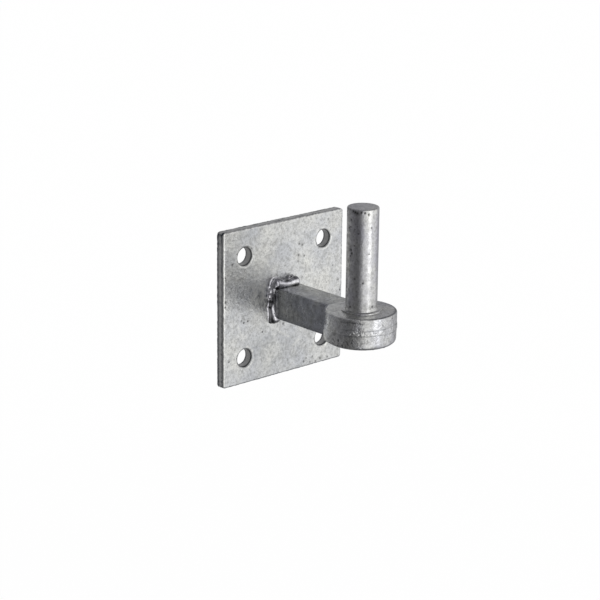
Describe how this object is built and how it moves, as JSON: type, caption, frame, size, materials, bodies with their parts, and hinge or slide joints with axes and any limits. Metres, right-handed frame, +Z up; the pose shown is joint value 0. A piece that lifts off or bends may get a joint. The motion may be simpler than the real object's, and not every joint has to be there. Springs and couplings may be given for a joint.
{
  "type": "gate hinge pin",
  "caption": "Galvanised steel gate hinge pin: square bolt-on back plate, welded square bar arm and a round forged boss that carries an upright round pin.",
  "frame": {"origin": "middle of the back plate's back face, which lies on the post", "axes": "+Z up along the pin; +Y out of the plate's back face into the post, so the arm runs out along -Y; +X to the right seen from the front"},
  "size_m": [0.1, 0.0974, 0.1225],
  "materials": {
    "plate": "hot-dip galvanised, matte, mottled",
    "forging": "hot-dip galvanised over forged steel, satin",
    "pin": "hot-dip galvanised bar, satin, lightly pitted",
    "weld": "hot-dip galvanised weld bead, glossy"
  },
  "bodies": {
    "root": {"back_plate": "plate", "forged_arm": "forging", "hinge_pin": "pin", "weld_top": "weld", "weld_left": "weld", "weld_right": "weld"}
  },
  "joints": []
}
